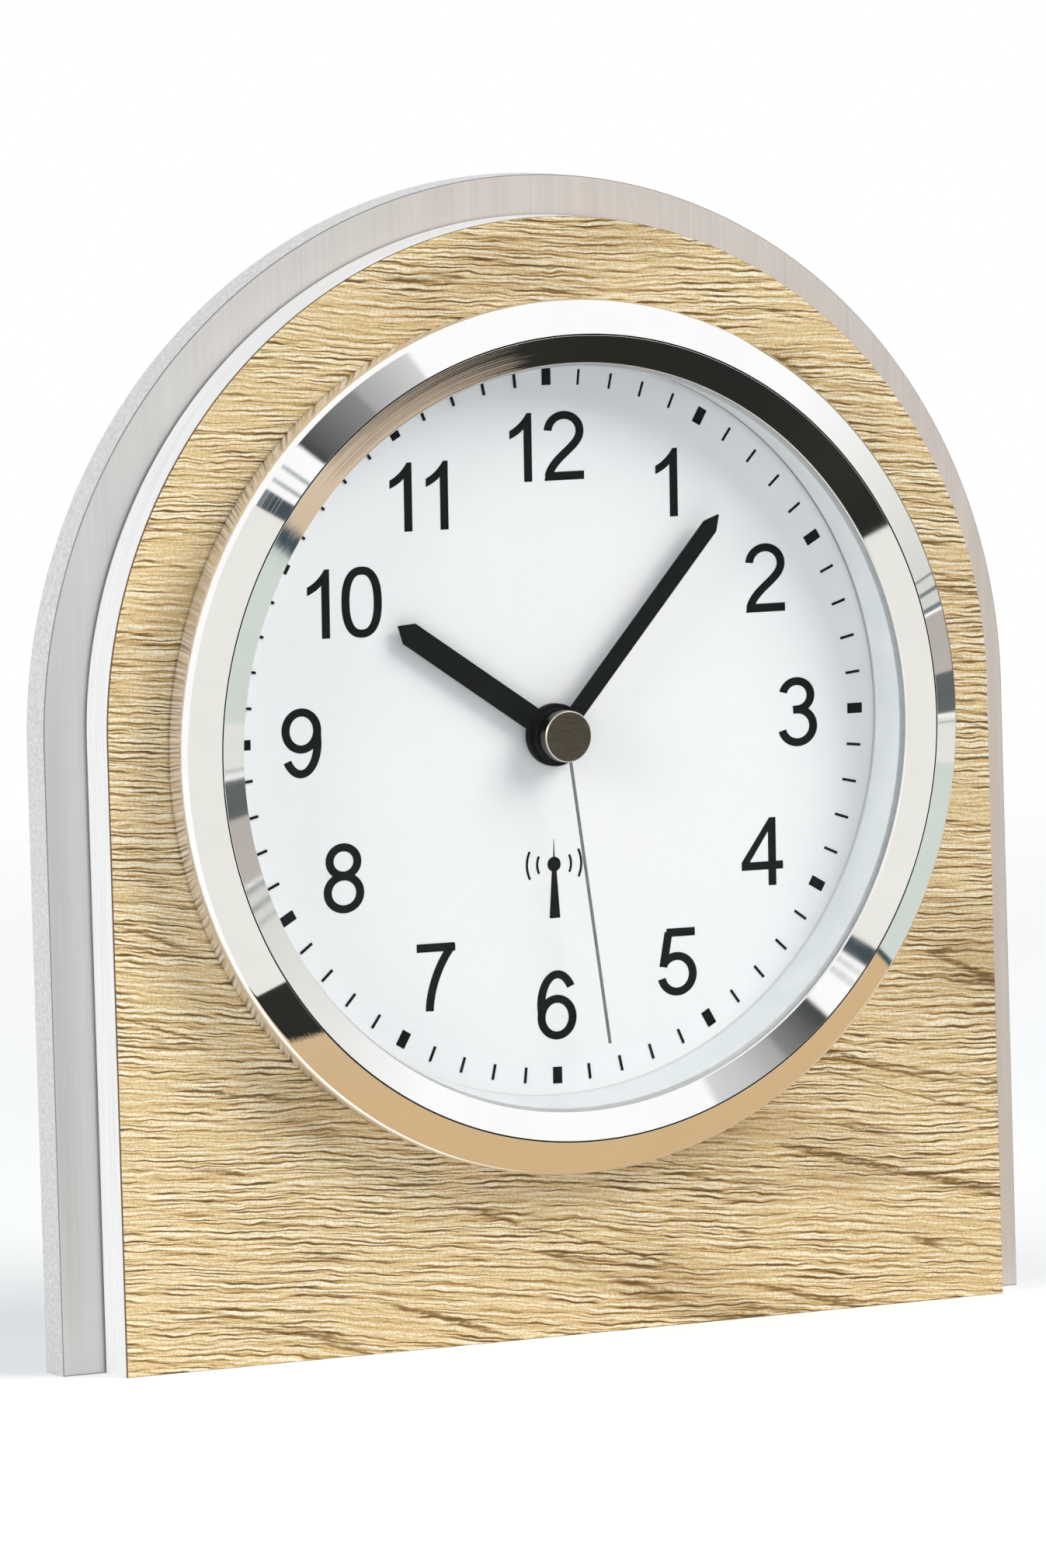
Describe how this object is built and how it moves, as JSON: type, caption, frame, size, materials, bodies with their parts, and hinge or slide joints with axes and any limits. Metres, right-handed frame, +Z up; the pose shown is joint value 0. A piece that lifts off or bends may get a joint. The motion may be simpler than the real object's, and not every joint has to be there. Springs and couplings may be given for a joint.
{
  "type": "desk clock",
  "caption": "Arched desk clock with an oak faced board on a metal plate, chromed bezel, white dial, radio-set battery movement, buttons and battery bay at the back.",
  "frame": {"origin": "on the base, in the middle of the overall width and depth", "axes": "+Z up, +X to the right seen from the front, -Y out of the dial"},
  "size_m": [0.1588, 0.0504, 0.17],
  "materials": {
    "plate_metal": "satin, brushed upright",
    "board_edge": "silver foil on board",
    "oak": "satin oak veneer",
    "foot_board": "silver foil on board",
    "chrome": "polished",
    "glass": "clear",
    "rehaut": "satin white",
    "dial_white": "matt white print ground",
    "hand_black": "matt black",
    "second_grey": "satin grey",
    "cap_nickel": "dark nickel",
    "black_plastic": "fine texture",
    "button_grey": "satin",
    "gear_plastic": "moulded",
    "steel": "zinc plated",
    "brass": "turned",
    "copper": "enamelled wire",
    "ferrite": "matt",
    "circuit": "solder mask",
    "chip": "matt resin",
    "seal": "matt",
    "cell": "printed jacket, plain"
  },
  "bodies": {
    "case": {"back_plate": "plate_metal", "front_board": "board_edge", "oak_veneer": "oak", "rear_foot": "foot_board", "foot_screws": "steel", "bezel_ring": "chrome", "lens": "glass", "lens_gasket": "seal", "rehaut_ring": "rehaut", "dial": "dial_white", "dial_carrier": "black_plastic", "carrier_screws": "steel", "plate_screws": "steel", "mounting_washer": "seal", "centre_nut": "brass", "movement_front_shell": "black_plastic", "movement_rear_shell": "black_plastic", "case_screws": "steel", "train_bridge": "gear_plastic", "circuit_board": "circuit", "bridge_screws": "steel", "control_chip": "chip", "quartz_crystal": "steel", "key_switches": "chip", "antenna_rod": "ferrite", "antenna_coil": "copper", "minute_stator": "steel", "seconds_stator": "steel", "minute_coil": "copper", "seconds_coil": "copper", "contact_positive": "steel", "contact_negative": "steel"},
    "second_hand": {"seconds_arbor": "steel", "seconds_wheel": "gear_plastic", "second_hand": "second_grey", "hand_cap": "cap_nickel"},
    "seconds_reduction": {"seconds_reduction": "gear_plastic"},
    "seconds_rotor": {"seconds_rotor_magnet": "ferrite", "seconds_rotor_pinion": "gear_plastic"},
    "minute_hand": {"minute_pipe": "gear_plastic", "minute_wheel": "gear_plastic", "minute_hand": "hand_black"},
    "minute_reduction": {"minute_reduction": "gear_plastic"},
    "minute_rotor": {"minute_rotor_magnet": "ferrite", "minute_rotor_pinion": "gear_plastic"},
    "motion_wheel": {"motion_wheel": "gear_plastic"},
    "hour_hand": {"hour_wheel": "gear_plastic", "hour_hand": "hand_black"},
    "battery": {"battery_cell": "cell"},
    "set_button": {"set_button": "button_grey"},
    "signal_button": {"signal_button": "button_grey"},
    "reset_button": {"reset_button": "button_grey"}
  },
  "joints": [
    {"name": "second_hand_turn", "type": "hinge", "parent": "case", "child": "second_hand", "pos_m": [0, 0, 0.0884], "axis": [0, 1, 0], "continuous": true},
    {"name": "seconds_reduction_turn", "type": "hinge", "parent": "case", "child": "seconds_reduction", "pos_m": [0.0112, 0, 0.0884], "axis": [0, 1, 0], "continuous": true},
    {"name": "seconds_rotor_turn", "type": "hinge", "parent": "case", "child": "seconds_rotor", "pos_m": [0.01526, 0, 0.0971], "axis": [0, 1, 0], "continuous": true},
    {"name": "minute_hand_turn", "type": "hinge", "parent": "case", "child": "minute_hand", "pos_m": [0, 0, 0.0884], "axis": [0, 1, 0], "continuous": true},
    {"name": "minute_reduction_turn", "type": "hinge", "parent": "case", "child": "minute_reduction", "pos_m": [-0.0112, 0, 0.0884], "axis": [0, 1, 0], "continuous": true},
    {"name": "minute_rotor_turn", "type": "hinge", "parent": "case", "child": "minute_rotor", "pos_m": [-0.01526, 0, 0.0971], "axis": [0, 1, 0], "continuous": true},
    {"name": "motion_wheel_turn", "type": "hinge", "parent": "case", "child": "motion_wheel", "pos_m": [0, 0, 0.0964], "axis": [0, 1, 0], "continuous": true},
    {"name": "hour_hand_turn", "type": "hinge", "parent": "case", "child": "hour_hand", "pos_m": [0, 0, 0.0884], "axis": [0, 1, 0], "continuous": true},
    {"name": "battery_lift", "type": "slide", "parent": "case", "child": "battery", "axis": [0, 1, 0], "range_m": [0, 0.03]},
    {"name": "set_button_press", "type": "slide", "parent": "case", "child": "set_button", "axis": [0, -1, 0], "range_m": [0, 0.0006], "stiffness_N_per_m": 1500},
    {"name": "signal_button_press", "type": "slide", "parent": "case", "child": "signal_button", "axis": [0, -1, 0], "range_m": [0, 0.0006], "stiffness_N_per_m": 1500},
    {"name": "reset_button_press", "type": "slide", "parent": "case", "child": "reset_button", "axis": [0, -1, 0], "range_m": [0, 0.0006], "stiffness_N_per_m": 1500}
  ],
  "couplings": [
    {"joint": "seconds_reduction_turn", "follows": "second_hand_turn", "ratio": -6},
    {"joint": "seconds_rotor_turn", "follows": "second_hand_turn", "ratio": 30},
    {"joint": "minute_reduction_turn", "follows": "minute_hand_turn", "ratio": -6},
    {"joint": "minute_rotor_turn", "follows": "minute_hand_turn", "ratio": 30},
    {"joint": "motion_wheel_turn", "follows": "minute_hand_turn", "ratio": -0.33333},
    {"joint": "hour_hand_turn", "follows": "minute_hand_turn", "ratio": 0.083333}
  ]
}
